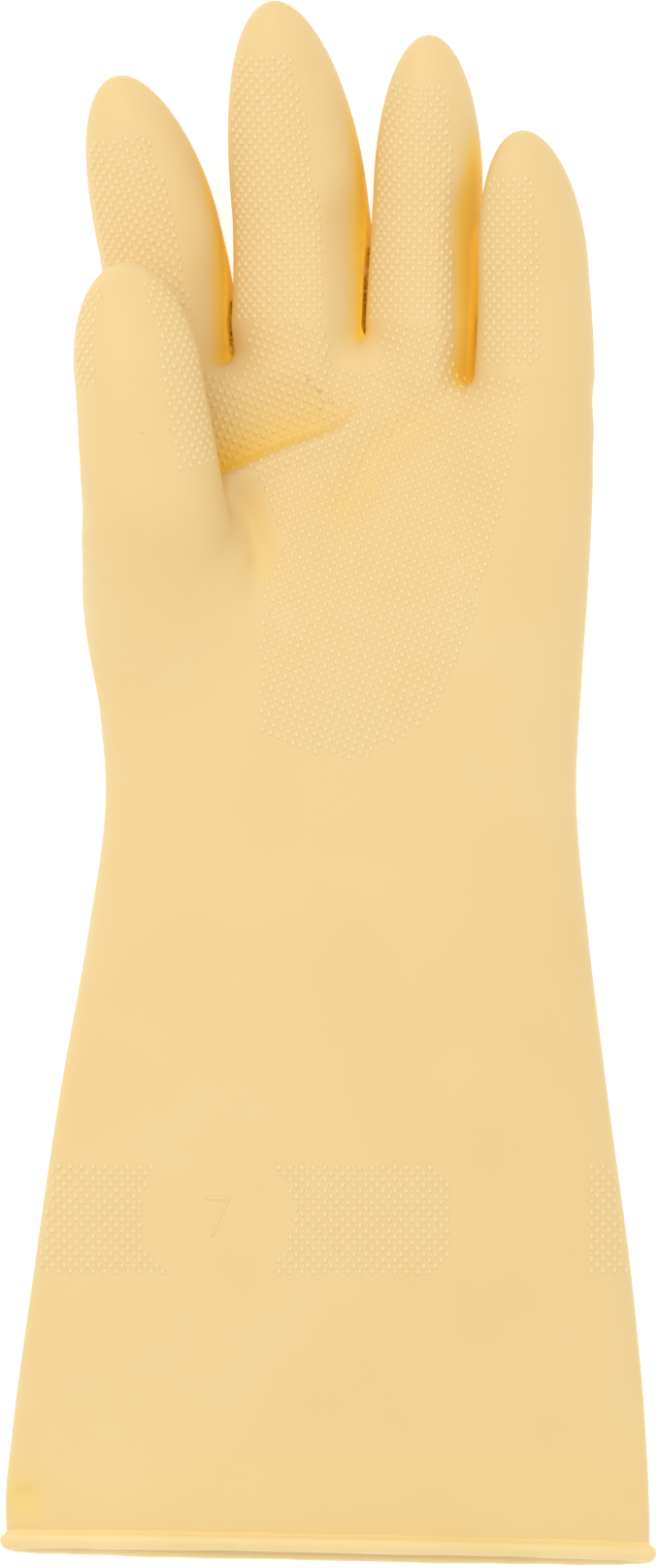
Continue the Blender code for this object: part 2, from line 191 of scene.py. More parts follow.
class Limb:
    # A finger, or the thumb with its ball: a row of ellipses along a line, by length s from the root.

    def __init__(self, name):
        plan = digitPlan[name]
        self.name, self.plan = name, plan
        line = bezier(plan["line"], 400)
        s = lengthsAlong(line)
        self.length = s[-1]
        wide = plan["widening"] * np.maximum(self.length - plan["cap"] - s, 0) / 2
        halves = np.stack([plan["width"] / 2 + wide, plan["height"] / 2 + wide], 1)
        rootLine, rootHalves = self.rootOf(line, halves)
        rootSteps = np.linalg.norm(np.diff(np.vstack([rootLine, line[:1]]), axis=0), axis=1)
        rootS = -np.cumsum(rootSteps[::-1])[::-1]
        allS = np.concatenate([rootS, s])
        allRows = np.hstack([np.vstack([rootLine, line]), np.vstack([rootHalves, halves])])
        self.start = allS[0]
        self.s = np.arange(self.start, self.length + tableStep / 2, tableStep)
        picked = np.stack([np.interp(self.s, allS, allRows[:, k]) for k in range(5)], 1)
        if name == "thumb":
            picked = self.softRoot(picked)
        centre = picked[:, :3]
        direction = unit(np.gradient(centre, axis=0))
        side = unit(np.cross(direction, (0.0, 0.0, 1.0)))
        up = np.cross(side, direction)
        self.table = np.hstack([centre, direction, side, up, picked[:, 3:]])
        self.box = centre.min(0) - 24, centre.max(0) + 24

    def softRoot(self, rows):
        # The ball of the thumb runs smoothly into the thumb.
        soft = np.array(rows)
        for _ in range(60):
            soft[1:-1] = (soft[:-2] + 2 * soft[1:-1] + soft[2:]) / 4
        mix = smoothStep((self.s - 6) / 8)[:, None]
        return soft * (1 - mix) + rows * mix

    def rootOf(self, line, halves):
        # The rows of the line and of the half sizes that lie inside the hand, before the first.
        back = unit(line[1] - line[0])
        if self.name != "thumb":
            rows = [(line[0] + back * s, halves[0] - narrower) for s, narrower in fingerStub]
            return np.array([r[0] for r in rows]), np.array([r[1] for r in rows])
        rows = np.array(ballOfThumb)
        return np.vstack([rows[:, :3], line[0] - back * 4]), np.vstack([rows[:, 3:], halves[:1]])

    def at(self, s):
        # The centre, direction, side, up, half width and half height at s.
        place = np.clip((np.asarray(s, float) - self.start) / tableStep, 0, len(self.s) - 1.001)
        k = place.astype(int)
        share = (place - k)[..., None]
        row = self.table[k] * (1 - share) + self.table[k + 1] * share
        return row[..., 0:3], row[..., 3:6], row[..., 6:9], row[..., 9:12], row[..., 12], row[..., 13]

    def lengthAt(self, points):
        # The nearest place along the line: the nearest of every third row, then two finer steps.
        s = np.empty(len(points))
        batch = 20000
        for k in range(0, len(points), batch):
            part = points[k:k + batch]
            gaps = ((part[:, None, :] - self.table[None, ::3, :3]) ** 2).sum(2)
            s[k:k + batch] = self.s[::3][gaps.argmin(1)]
        for _ in range(2):
            clipped = np.clip(s, self.start, self.length)
            centre, direction = self.at(clipped)[:2]
            s = clipped + ((points - centre) * direction).sum(1)
        return s

    def press(self, s, across, v, b):
        # How far the flank beside the next finger is pressed down, least at the back of the digit.
        depth, end = self.plan["press"]
        along = smoothStep((s + 17) / 7) * smoothStep((end - s) / 14)
        return depth * along * smoothStep((across - 0.15) / 0.75) * smoothStep((v + b) / (2 * b))

    def field(self, points):
        # About how far outside the digit each point lies, and negative inside it.
        values = np.full(len(points), farAway)
        near = ((points > self.box[0]) & (points < self.box[1])).all(1)
        if not near.any():
            return values
        inside = points[near]
        s = self.lengthAt(inside)
        centre, _, side, up, a, b = self.at(s)
        u, v = ((inside - centre) * side).sum(1), ((inside - centre) * up).sum(1)
        plain = v
        for _ in range(4):
            plain = v + self.press(s, u / a, plain, b)
        v = plain
        cap = self.plan["cap"]
        w = np.maximum((s - (self.length - cap)) / cap, 0) + np.maximum((self.start - s) / rootCap, 0)
        span = np.where(s > 0, cap, rootCap)
        g = np.sqrt((u / a) ** 2 + (v / b) ** 2 + w * w) + 1e-6
        slope = np.sqrt((u / a**2) ** 2 + (v / b**2) ** 2 + (w / span) ** 2) / g + 1e-6
        values[near] = np.minimum((g - 1) / slope, farAway)
        return values

    def ring(self, s, angles):
        centre, _, side, up, a, b = self.at(s)
        cap = self.plan["cap"]
        share = math.sqrt(max(0.0, 1 - max(0.0, (s - self.length + cap) / cap) ** 2))
        u, v = np.cos(angles) * a * share, np.sin(angles) * b * share
        v = v - self.press(s, u / a, v, b)
        return centre + side * u[:, None] + up * v[:, None]


limbs = {name: Limb(name) for name in digitPlan}


def sectionAt(y):
    # The middle x and z of the hand's or gauntlet's section, and its half width and half height.
    left, right, bottom, top = np.moveaxis(curveThrough(handPlan["stations"], y), -1, 0)
    return (left + right) / 2, (bottom + top) / 2, (right - left) / 2, (top - bottom) / 2


def softLine(points):
    # The same line with its corners cut off three times.
    line = np.array(points, float)
    for _ in range(3):
        a, b = line[:-1], line[1:]
        cut = np.stack([a * 0.75 + b * 0.25, a * 0.25 + b * 0.75], 1).reshape(-1, 2)
        line = np.vstack([line[:1], cut, line[-1:]])
    return line


# The fold at the heel of the fingers: the skin steps down along a line of x, y points, with its left
# side the lower one. fade is how far the step reaches, and rise is how high its rim stands.
heelPlan = {
    "line": softLine([(-24.0, 59.8), (-21.5, 60.6), (-7.8, 66.7), (1.7, 69.5), (5.5, 74.3), (8.4, 78.1)]),
    "depth": 3.3, "fade": 15.0, "rise": 1.2, "soft": 1.2, "fadeIn": 0.001, "fadeOut": 0.5,
    # glow is the painted shade and glow below the step, glowReach is how far it reaches, and
    # rimPaintedHighlight is the painted highlight on its rim.
    "glow": 0.85, "glowReach": 6.5, "rimPaintedHighlight": 0.35,
}
grooves = [  # points, depth, half width
    ([(22.4, 75.0), (9.3, 64.2), (5.1, 57.7), (-3.0, 46.7)], 1.2, 3.4),
    ([(-19.6, 62.0), (-15.6, 50.0), (-14.4, 44.0), (-14.2, 37.0)], 1.5, 3.6),
    ([(-60.2, -137.0), (-59.0, -141.0)], 1.2, 2.6),
    ([(42.0, -136.5), (47.5, -143.0)], 0.35, 1.8),
    ([(33.0, -139.0), (38.0, -144.0)], 0.25, 1.6),
    ([(-30.0, -20.0), (-8.0, -14.0), (20.0, -16.0)], 0.35, 6.0),
]
palmGrooves = grooves[:2]
groovePaintedShade = 0.17


def nearLine(x, y, line):
    # Distance to a bent line, the side it lies on, and the share of the line's length passed there.
    line = np.array(line, float)
    best = np.full(x.shape, 1e6)
    side, along = np.zeros(x.shape), np.zeros(x.shape)
    steps = np.linalg.norm(np.diff(line, axis=0), axis=1)
    passed = lengthsAlong(line)
    for k in range(len(line) - 1):
        d = (line[k + 1] - line[k]) / steps[k]
        t = np.clip((x - line[k, 0]) * d[0] + (y - line[k, 1]) * d[1], 0, steps[k])
        gapX, gapY = x - line[k, 0] - d[0] * t, y - line[k, 1] - d[1] * t
        gap = np.hypot(gapX, gapY)
        better = gap < best
        best = np.where(better, gap, best)
        side = np.where(better, np.sign(d[0] * gapY - d[1] * gapX), side)
        along = np.where(better, (passed[k] + t) / passed[-1], along)
    return best, side, along


def heelAt(x, y):
    # The distance to the heel's step, the same signed to its lower side, its strength and the share passed.
    gap, side, along = nearLine(x, y, heelPlan["line"])
    strength = smoothStep(along / heelPlan["fadeIn"]) * smoothStep((1 - along) / heelPlan["fadeOut"])
    return gap, side * gap, strength, along


def palmSink(x, y):
    # How far the palm side is pressed in.
    sink = np.zeros(x.shape)
    for line, depth, width in grooves:
        gap, _, along = nearLine(x, y, line)
        ends = smoothStep(along / 0.3) * smoothStep((1 - along) / 0.3) * 0.75 + 0.25
        sink += depth * ends * bell(gap, width)
    gap, past, strength, _ = heelAt(x, y)
    soft = heelPlan["soft"]
    lower = heelPlan["depth"] * smoothStep(1 - gap / heelPlan["fade"]) * smoothStep(past / (2 * soft) + 0.5)
    rim = heelPlan["rise"] * bell(past + 1.8 * soft, 2.1 * soft)
    return sink + (lower - rim) * strength


def paintedCreaseShade(x, y):
    # Painted shade and glow below the heel's step and along the palm's grooves, and a painted highlight on
    # the step's rim.
    glow = np.zeros(x.shape)
    gap, past, strength, along = heelAt(x, y)
    soft = heelPlan["soft"]
    below = smoothStep((past + soft) / soft)
    nearThumb = 0.55 + 0.6 * smoothStep(1 - along / 0.6)
    fading = np.exp(-((gap / heelPlan["glowReach"]) ** 1.3))
    glow += heelPlan["glow"] * below * fading * strength * nearThumb
    rim = bell(past + 2.4 * soft, 1.6 * soft)
    # A painted highlight on the rim above the step.
    glow -= heelPlan["rimPaintedHighlight"] * heelPlan["rise"] * rim * strength
    for line, _, width in palmGrooves:
        gap, _, along = nearLine(x, y, line)
        ends = smoothStep(along / 0.25) * smoothStep((1 - along) / 0.25)
        glow += groovePaintedShade * ends * bell(gap, width * 1.3)
    return glow


def handField(points):
    # The palm and the gauntlet, without digits, webs or creases.
    x, y, z = points.T
    middleX, middleZ, a, b = sectionAt(y)
    z = z - cupLift(x, y)
    n = handPlan["squareness"]
    u, v = np.abs(x - middleX) / a + 1e-6, np.abs(z - middleZ) / b + 1e-6
    q = u**n + v**n
    g = q ** (1 / n)
    slope = np.hypot(u ** (n - 1) / a, v ** (n - 1) / b) * g / q
    return (g - 1) / slope


def digitFields(points):
    # Each finger gives way under the next one, past the skin between them.
    x, y, _ = points.T
    fields = [limb.field(points) for limb in limbs.values()]
    past = y - webEdge(x) - 0.6
    for k in range(3):
        fields[k] = smoothMax(fields[k], np.minimum(handPlan["slit"] - fields[k + 1], past), 0.4)
    return np.stack(fields)


def gloveField(points):
    # The whole outside of the glove, from the palm to the fingertips.
    x, y, z = points.T
    fields = digitFields(points)
    fingers, thumb = fields[:4].min(0), fields[4] + 10 * np.clip((32 - y) / 28, 0, 1) ** 2
    palm = smoothMax(handField(points), y - webEdge(x), handPlan["frontRounding"])
    glove = smoothMin(palm, fingers, handPlan["webBlend"])
    glove = smoothMin(glove, thumb, 2.2 + 8.0 * smoothStep((58 - y) / 22))
    away = smoothStep((thumb - 0.4) / 3.5) * smoothStep((z - 12) / 8)
    glove = glove + palmSink(x, y) * away
    return smoothMax(glove, -z, 1.2)


def slopeOf(field, points, reach=0.06):
    slope = np.empty_like(points)
    for axis in range(3):
        step = np.zeros(3)
        step[axis] = reach
        slope[:, axis] = (field(points + step) - field(points - step)) / (2 * reach)
    return slope


def gridCrossings(values, grid, step):
    # Where the surface crosses the grid's edges, added up in each cell beside them.
    shape = values.shape
    inside = values < 0
    cells = tuple(n - 1 for n in shape)
    total, count = np.zeros(cells + (3,)), np.zeros(cells)
    crossings = []
    for axis in range(3):
        others = [k for k in range(3) if k != axis]
        first, second = [slice(None)] * 3, [slice(None)] * 3
        first[axis], second[axis] = slice(0, -1), slice(1, None)
        first, second = tuple(first), tuple(second)
        a, b = values[first], values[second]
        crossed = inside[first] != inside[second]
        share = np.where(crossed, a / np.where(crossed, a - b, 1.0), 0.0)
        where = grid[first].copy()
        where[..., axis] += share * step
        for shifts in ((0, 0), (0, 1), (1, 0), (1, 1)):
            pick = [slice(None)] * 3
            for other, shift in zip(others, shifts):
                pick[other] = slice(shift, shape[other] - 1 + shift)
            hit = crossed[tuple(pick)]
            total += where[tuple(pick)] * hit[..., None]
            count += hit
        crossings.append((axis, others, crossed, inside[first]))
    return total, count, crossings


def netQuads(number, crossings, shape):
    # One quad across each crossed edge, through the four cells round it.
    quads = []
    for axis, others, crossed, starts in crossings:
        keep = crossed.copy()
        for other in others:
            edge = [slice(None)] * 3
            edge[other] = [0, shape[other] - 1]
            keep[tuple(edge)] = False
        index = np.argwhere(keep)
        corners = []
        for i, j in ((-1, -1), (0, -1), (0, 0), (-1, 0)):
            cell = index.copy()
            cell[:, others[0]] += i
            cell[:, others[1]] += j
            corners.append(number[tuple(cell.T)])
        quad = np.stack(corners, 1)
        outward = starts[tuple(index.T)] ^ (axis == 1)
        quad[~outward] = quad[~outward][:, ::-1]
        quads.append(quad)
    return np.concatenate(quads)


def surfaceNet(field, low, high, step):
    # One vertex in each cell that the surface passes through, joined by quads across crossed edges.
    axes = [np.arange(low[k], high[k] + step, step) for k in range(3)]
    grid = np.stack(np.meshgrid(*axes, indexing="ij"), -1)
    values = field(grid.reshape(-1, 3)).reshape(grid.shape[:3])
    total, count, crossings = gridCrossings(values, grid, step)
    active = count > 0
    number = -np.ones(count.shape, int)
    number[active] = np.arange(active.sum())
    return total[active] / count[active][:, None], netQuads(number, crossings, values.shape)


def settle(field, points, rounds):
    # Moves points onto the surface, by at most 0.6 along the slope in each round.
    for _ in range(rounds):
        slope = slopeOf(field, points)
        value = field(points)[:, None]
        steepness = np.maximum((slope**2).sum(1, keepdims=True), 0.2)
        points = points - np.clip(value, -0.6, 0.6) * slope / steepness
    return points


class Signal:
    # One socket of a node tree, so that an expression adds the Math nodes it needs.

    def __init__(self, tree, socket):
        self.tree, self.socket = tree, socket

    def math(self, operation, other=None, swapped=False):
        pair = (other, self) if swapped else (self, other)
        return nodeOf(self.tree, "ShaderNodeMath", {"operation": operation}, *pair)

    def __add__(self, other):
        return self.math("ADD", other)

    def __sub__(self, other):
        return self.math("SUBTRACT", other)

    def __rsub__(self, other):
        return self.math("SUBTRACT", other, swapped=True)

    def __mul__(self, other):
        return self.math("MULTIPLY", other)

    __radd__, __rmul__ = __add__, __mul__


def fillSockets(tree, node, values):
    for key, value in values.items():
        if isinstance(value, Signal):
            tree.links.new(value.socket, node.inputs[key])
        elif value is not None:
            node.inputs[key].default_value = value


def nodeOf(tree, kind, settings, *values, out=0, **named):
    # One node, its settings set first, then the values or links of its sockets by number or name.
    node = tree.nodes.new(kind)
    for key, value in settings.items():
        setattr(node, key, value)
    fillSockets(tree, node, {**dict(enumerate(values)), **named})
    return Signal(tree, node.outputs[out])


def mixColour(tree, share, a, b):
    # A Mix node's colours are its sockets 6 and 7, and the mixed colour is its output 2.
    return nodeOf(tree, "ShaderNodeMix", {"data_type": "RGBA"}, share, *[None] * 5, a, b, out=2)


latexPlan = {
    "pale": (0.820, 0.612, 0.298, 1),
    "warm": (0.790, 0.565, 0.245, 1),
    "paintedShadeAmber": (0.92, 0.62, 0.09, 1),
    "crownHighlight": (0.850, 0.665, 0.365, 1),
    "roll": (0.930, 0.715, 0.350, 1),
    # glow and deepGlow are the colours of a painted glow, in crevices and in slits.
    "glow": (0.03, 0.014, 0.0, 1),
    "deepGlow": (0.17, 0.085, 0.0, 1),
    "noises": [(55.0, 4.0), (14.0, 2.0), (900.0, 3.0)],  # scale and detail of the mottle, cloud and grain
    "bump": 0.12,
    "specular": 0.22,
}


def latexMaterial(name, body, crownHighlight=False, roughness=0.46):
    material = bpy.data.materials.new(name)
    material.use_nodes = True
    tree = material.node_tree
    shader = tree.nodes["Principled BSDF"]
    place = nodeOf(tree, "ShaderNodeTexCoord", {}, out=3)
    mottle, cloud, grain = (
        nodeOf(tree, "ShaderNodeTexNoise", {}, Vector=place, Scale=scale, Detail=detail)
        for scale, detail in latexPlan["noises"])
    shade = nodeOf(tree, "ShaderNodeAttribute", {"attribute_name": "shade"}, out=2)
    uneven = (mottle - 0.5) * 0.7 + (cloud - 0.5) * 0.9 + 0.35
    colour = mixColour(tree, uneven, body, latexPlan["warm"])
    if crownHighlight:
        # Painted highlight: the studs' tops are lighter, by their stored height.
        lift = nodeOf(tree, "ShaderNodeAttribute", {"attribute_name": "crownHighlight"}, out=2)
        colour = mixColour(tree, lift, colour, latexPlan["crownHighlight"])
    # Painted shade: the colour turns amber where the shade attribute says a point is closed in, in creases
    # and between parts.
    colour = mixColour(tree, shade, colour, latexPlan["paintedShadeAmber"])
    # Painted glow: the rubber emits amber light where the painted shade is deep, and more in the slits,
    # where shade goes past 1.
    glow = mixColour(tree, shade * shade, (0, 0, 0, 1), latexPlan["glow"])
    glow = mixColour(tree, shade - 1.0, glow, latexPlan["deepGlow"])
    gloss = (mottle - 0.5) * 0.16 + roughness
    height = grain * 0.5 + mottle * 0.5
    bump = nodeOf(tree, "ShaderNodeBump", {}, Strength=latexPlan["bump"], Distance=0.0002, Height=height)
    fillSockets(tree, shader, {
        "Base Color": colour, "Roughness": gloss, "Normal": bump, "IOR": 1.45,
        "Specular IOR Level": latexPlan["specular"],
        "Emission Color": glow, "Emission Strength": 1.0,
    })
    return material


materials = {
    "latex": latexMaterial("glove_latex", latexPlan["pale"]),
    "grip": latexMaterial("grip_latex", latexPlan["pale"], crownHighlight=True, roughness=0.5),
    "roll": latexMaterial("rolled_latex", latexPlan["roll"], roughness=0.4),
}


shadePlan = {
    "reaches": [(2.0, 0.2), (4.5, 0.35), (8.0, 0.45)],  # how far each look goes, and its weight
    "openness": 0.24, "span": 0.78, "tight": 0.15,
    # pocket is the strength of the painted shade on the palm beside the thumb's edge, and pocketReach is
    # how far it reaches.
    "pocket": 0.55, "pocketReach": 4.5,
}


def enclosure(points, normals):
    # How closed in each point is, and whether it lies in a slit, where the next wall is very near.
    enclosed, rooms = np.zeros(len(points)), []
    for reach, weight in shadePlan["reaches"]:
        rooms.append(np.clip(gloveField(points + normals * reach) / reach, 0, 1))
        enclosed += weight * (1 - rooms[-1])
    return enclosed, smoothStep(1 - rooms[0] / shadePlan["tight"])


def shadeAt(points, normals):
    # How much shade is painted on the rubber: 0 in the open, 1 where two walls nearly meet, and 2 in the
    # slits, which also get a painted glow.
    enclosed, tight = enclosure(points, normals)
    x, y, z = points.T
    facingX, _, facingZ = normals.T
    shade = smoothStep((enclosed - shadePlan["openness"]) / shadePlan["span"])
    # The painted shade falls mostly on surfaces that face +x.
    turned = 0.3 + 0.7 * smoothStep((facingX + 0.2) / 0.45)
    palmSide = smoothStep((z - 10) / 6) * smoothStep(facingZ / 0.3)
    # Painted shade in the pocket along the thumb's edge, on the palm.
    toThumb = limbs["thumb"].field(points)
    onPalm = smoothStep(toThumb / 3)
    pocket = shadePlan["pocket"] * np.exp(-np.maximum(toThumb, 0) / shadePlan["pocketReach"]) * onPalm
    pocket = pocket * smoothStep((y - 60) / 4) * smoothStep((100 - y) / 18)
    glow = (paintedCreaseShade(x, y) * onPalm + pocket) * palmSide
    # The slits get a shade up to 2 for the painted glow, except on walls that face -x.
    return np.clip(shade * turned + glow, 0, 1) + tight * smoothStep((facingX + 0.7) / 0.4)


def paint(mesh, key, values, kind="FLOAT", part="value"):
    data = mesh.attributes.new(key, kind, "POINT").data
    data.foreach_set(part, values.astype(np.float32).ravel())


def turnOutwards(obj):
    bm = bmesh.new()
    bm.from_mesh(obj.data)
    bmesh.ops.recalc_face_normals(bm, faces=bm.faces[:])
    bm.to_mesh(obj.data)
    bm.free()


def addObject(name, data):
    obj = bpy.data.objects.new(name, data)
    bpy.context.scene.collection.objects.link(obj)
    return obj


def meshPiece(name, points, faces, normals, material, attributes=None):
    mesh = bpy.data.meshes.new(name)
    mesh.from_pydata((np.asarray(points) * mm).tolist(), [], faces)
    mesh.materials.append(material)
    mesh.update()
    mesh.shade_smooth()
    for key, values in (attributes or {}).items():
        paint(mesh, key, values)
    if normals is not None:
        mesh.normals_split_custom_set(normals)
    return addObject(name, mesh)


innerShade = 0.45  # the painted shade of the wall's inner side, which is seen at the mouth only


def wallPiece(name, points, faces, normals, shade):
    # The skin, its inner side one wall further in, and the rim that joins them.
    count = len(points)
    inner = points - normals * handPlan["wall"]
    directed = set()
    for face in faces:
        directed.update(zip(face, face[1:] + face[:1]))
    rim = [(b, a, a + count, b + count) for a, b in directed if (b, a) not in directed]
    rim.sort()
    inside = [tuple(v + count for v in face[::-1]) for face in faces]
    allPoints = np.vstack([points, inner])
    outNormals = normals.tolist()
    corner = []
    for face in faces:
        corner.extend(outNormals[v] for v in face)
    for face in faces:
        corner.extend([-c for c in outNormals[v]] for v in face[::-1])
    for face in rim:
        a, b, c = allPoints[face[0]], allPoints[face[1]], allPoints[face[2]]
        flat = np.cross(b - a, c - b)
        flat = (flat / max(np.linalg.norm(flat), 1e-9)).tolist()
        corner.extend([flat] * 4)
    attributes = {"shade": np.concatenate([shade, np.full(count, innerShade)])}
    allFaces = list(faces) + inside + rim
    return meshPiece(name, allPoints, allFaces, corner, materials["latex"], attributes)


def compact(points, faces, *rows):
    # Only the points that the faces use, with the faces and the rows of values to match.
    used = np.unique(np.concatenate([np.array(f) for f in faces]))
    number = -np.ones(len(points), int)
    number[used] = np.arange(len(used))
    renamed = [tuple(int(number[v]) for v in f) for f in faces]
    return (points[used], renamed) + tuple(r[used] for r in rows)


def bodyNames(limb):
    # The digit's bodies, then its folds, then its stiff zones, from the root on.
    zones = ["lower", "tip"] if limb.name == "thumb" else ["lower", "centre", "tip"]
    folds = ["root_fold"] + [zone + "_fold" for zone in zones[1:]]
    return ["hand"] + [f"{limb.name}_{zone}" for zone in zones], folds, zones


blendInset = 0.7  # how far inside the fold's ends its two end points are taken


def bendFold(obj, limb, k):
    bodies = bodyNames(limb)[0]
    s0, s1 = limb.plan["folds"][k]
    a, b = limb.at(s0)[0], limb.at(s1)[0]
    d = unit(b - a) * blendInset
    bodies[k + 1]
    tuple((a + d) * mm)
    tuple((b - d) * mm)
    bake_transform(obj)


def finishPiece(obj, node):
    if node:
        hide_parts(node)
    return obj


def makeHand():
    # A net over the palm and the roots of the digits.
    low = np.array([-52.0, handPlan["wristFold"][1] - 3.0, -1.5])
    high = np.array([54.0, handPlan["netFront"], 49.5])
    points, quads = surfaceNet(gloveField, low, high, handPlan["netStep"])
    print("net", len(points), len(quads))
    points = settle(gloveField, points, 4)
    bm = bmesh.new()
    verts = [bm.verts.new(p) for p in points.tolist()]
    for quad in quads.tolist():
        bm.faces.new([verts[v] for v in quad])
    return bm


def ownersOf(points):
    # The digit that each point is nearest to, and how far it is.
    fields = digitFields(points)
    return fields.argmin(0), fields.min(0)


def cutNet(bm):
    # Cuts the net square to each digit at both ends of its root fold, and at the wrist.
    wrist = handPlan["wristFold"][1]
    bmesh.ops.bisect_plane(bm, geom=bm.verts[:] + bm.edges[:] + bm.faces[:], dist=0.02,
                           plane_co=(0, wrist, 0), plane_no=(0, -1, 0), clear_outer=True)
    for k, limb in enumerate(limbs.values()):
        for s in limb.plan["folds"][0]:
            middles = np.array([f.calc_center_median() for f in bm.faces])
            owner, _ = ownersOf(middles)
            centre, direction = limb.at(s)[:2]
            reach = np.abs(limb.lengthAt(middles) - s)
            mine = (owner == k) & (reach < 5) & (np.linalg.norm(middles - centre, axis=1) < 26)
            faces = [f for f, m in zip(bm.faces, mine) if m]
            edges = list({e for f in faces for e in f.edges})
            corners = list({v for f in faces for v in f.verts})
            bmesh.ops.bisect_plane(bm, geom=corners + edges + faces, dist=0.05,
                                   plane_co=tuple(centre), plane_no=tuple(direction))
    bm.verts.index_update()
    points = np.array([v.co for v in bm.verts])
    faces = [tuple(v.index for v in f.verts) for f in bm.faces]
    bm.free()
    return points, faces


def sortNet(points, faces):
    # Which piece each face belongs to: 0 is the hand, then each digit's root fold, and -1 is past it.
    middles = np.array([points[list(f)].mean(0) for f in faces])
    owner, gap = ownersOf(middles)
    label = np.zeros(len(faces), int)
    for k, limb in enumerate(limbs.values()):
        s0, s1 = limb.plan["folds"][0]
        centre0, direction0 = limb.at(s0)[:2]
        centre1, direction1 = limb.at(s1)[:2]
        mine = (owner == k) & (gap < 3)
        past0 = ((middles - centre0) @ direction0) > 0
        past1 = ((middles - centre1) @ direction1) > 0
        label[mine & past0] = k + 1
        label[mine & past1] = -1
    return label


def netPieces():
    points, faces = cutNet(makeHand())
    normals = unit(slopeOf(gloveField, points))
    shade = shadeAt(points, normals)
    label = sortNet(points, faces)
    made = compact(points, [f for f, m in zip(faces, label) if m == 0], normals, shade)
    hand = wallPiece("hand_skin", *made)
    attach(hand, "hand")
    finishPiece(hand, "hand_shell")
    for k, limb in enumerate(limbs.values()):
        chosen = [f for f, m in zip(faces, label) if m == k + 1]
        made = compact(points, chosen, normals, shade)
        fold = wallPiece(f"{limb.name}_root_skin", *made)
        bendFold(fold, limb, 0)
        finishPiece(fold, f"{limb.name}_root_fold")


def ringStrip(rows, sides, joined=False):
    # Quads between neighbouring rings, and from the last to the first if they are joined.
    faces = []
    for r in range(rows if joined else rows - 1):
        for k in range(sides):
            m = (k + 1) % sides
            a, b = r * sides, (r + 1) % rows * sides
            faces.append((a + k, a + m, b + m, b + k))
    return faces


digitSides = 72
ringSpacing = 0.9
tipRings = 56


def giveWay(limb, points):
    # Moves a finger's points out from under the next finger.
    names = list(limbs)
    order = names.index(limb.name)
    if order >= 3:
        return points
    above = limbs[names[order + 1]]
    short = np.maximum(handPlan["slit"] - above.field(points), 0)[:, None]
    return points + slopeOf(above.field, points) * np.minimum(short, 2.5)


def tubePiece(limb, name, s0, s1, closed=False):
    # The skin of a digit from s0 to s1, with its tip if it is closed.
    angles = np.arange(digitSides) * 2 * math.pi / digitSides
    if closed:
        reach = np.sin(np.linspace(0, math.pi / 2, tipRings + 1)[:-1])
        steps = s0 + (s1 - s0) * reach
    else:
        steps = np.linspace(s0, s1, max(3, int((s1 - s0) / ringSpacing) + 1))
    points = giveWay(limb, np.vstack([limb.ring(s, angles) for s in steps]))
    faces = [f[::-1] for f in ringStrip(len(steps), digitSides)]
    if closed:
        points = np.vstack([points, limb.at(limb.length)[0]])
        last = (len(steps) - 1) * digitSides
        faces += [(last + (k + 1) % digitSides, last + k, len(points) - 1) for k in range(digitSides)]
    normals = unit(slopeOf(gloveField, points))
    shade = shadeAt(points, normals)
    return wallPiece(name, points, faces, normals, shade)


def digitPieces(limb):
    bodies, folds, zones = bodyNames(limb)
    spans = limb.plan["folds"]
    for k, zone in enumerate(zones):
        last = k + 1 == len(zones)
        end = limb.length if last else spans[k + 1][0]
        piece = tubePiece(limb, f"{limb.name}_{zone}_skin", spans[k][1], end, closed=last)
        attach(piece, bodies[k + 1])
        finishPiece(piece, f"{limb.name}_{zone}")
        if not last:
            fold = tubePiece(limb, f"{limb.name}_{folds[k + 1]}_skin", *spans[k + 1])
            bendFold(fold, limb, k + 1)
            finishPiece(fold, f"{limb.name}_{folds[k + 1]}")


mouthPlan = {
    "y": -149.4, "z": 9.6, "slant": -0.020, "stagger": 1.3,
    "beadRadius": 2.05, "beadSides": 22, "beadSteps": 360, "beadInset": 0.5,
    "bandPaintedShade": 0.10, "dentPaintedShade": 0.28,
}
gauntletSides = 180
wristRings, sleeveRings = 13, 110


def ovalPoint(angles):
    # A point of a flattened oval with half sizes of 1.
    power = 2 / handPlan["squareness"]
    cos, sin = np.cos(angles), np.sin(angles)
    return np.sign(cos) * np.abs(cos) ** power, np.sign(sin) * np.abs(sin) ** power


def gauntletRing(share, fromY, angles):
    # share 0 is at fromY and 1 is at the slanted mouth.
    u, v = ovalPoint(angles)
    y = np.full(len(angles), fromY)
    for _ in range(2):
        middleX, middleZ, a, b = sectionAt(y)
        x = middleX + a * u
        mouth = mouthPlan["y"] + mouthPlan["slant"] * x + mouthPlan["stagger"] * v
        y = fromY + share * (mouth - fromY)
    z = middleZ + b * v + cupLift(x, y)
    top = smoothStep(v / 0.4)
    z = z - palmSink(x, y) * top
    return np.stack([x, y, np.maximum(z, 0.0)], 1)


def gridNormals(points, rows, sides):
    grid = points.reshape(rows, sides, 3)
    around = np.roll(grid, -1, 1) - np.roll(grid, 1, 1)
    along = np.gradient(grid, axis=0)
    return unit(np.cross(around, along)).reshape(-1, 3)


def evenAngles(count):
    # Angles whose points lie evenly round the flat section.
    fine = np.linspace(0, 2 * math.pi, 4001)
    u, v = ovalPoint(fine)
    halfWidth, halfHeight = 55, 13
    steps = np.hypot(np.diff(u) * halfWidth, np.diff(v) * halfHeight)
    passed = np.concatenate([[0], np.cumsum(steps)])
    return np.interp(np.arange(count) * passed[-1] / count, passed, fine)


